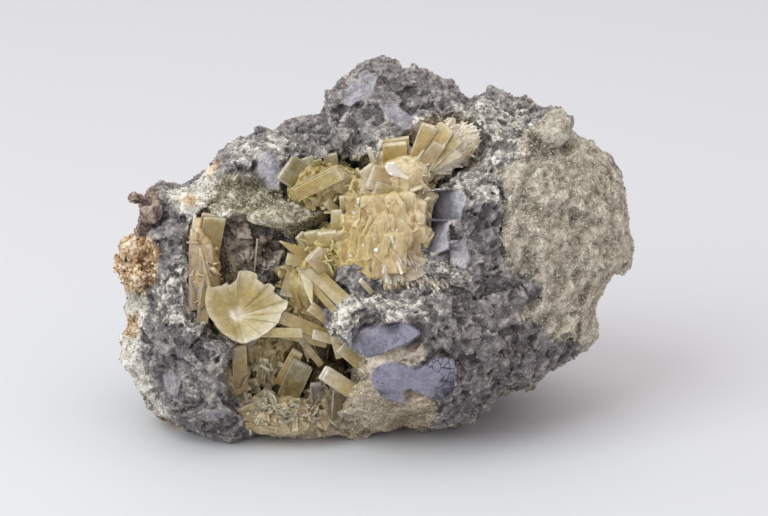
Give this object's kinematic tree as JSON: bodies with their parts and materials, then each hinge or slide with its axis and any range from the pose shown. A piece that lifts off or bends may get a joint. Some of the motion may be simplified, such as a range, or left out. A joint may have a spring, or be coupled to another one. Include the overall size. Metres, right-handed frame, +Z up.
{
  "type": "hemimorphite crystal specimen",
  "caption": "Cabinet mineral specimen: a lump of grey galena ore with a pale rind, its hollow lined with honey-yellow hemimorphite blades, resting on a flat underside.",
  "frame": {"origin": "centre of the bounding box's bottom, on the flat underside's plane", "axes": "+X along the specimen's length, to the right as its face is seen; -Y out of the face with the crystals; +Z up"},
  "size_m": [0.0772, 0.0524, 0.0514],
  "materials": {
    "galena_matrix": "rough grey granular galena ore with glossy lavender cleavage faces, a pale beige rind, white veins and ochre limonite",
    "hemimorphite_crystals": "translucent honey-yellow crystal blades with a vitreous lustre, paler at their tips"
  },
  "bodies": {
    "root": {"galena_matrix": "galena_matrix", "hemimorphite_crystals": "hemimorphite_crystals"}
  },
  "joints": []
}
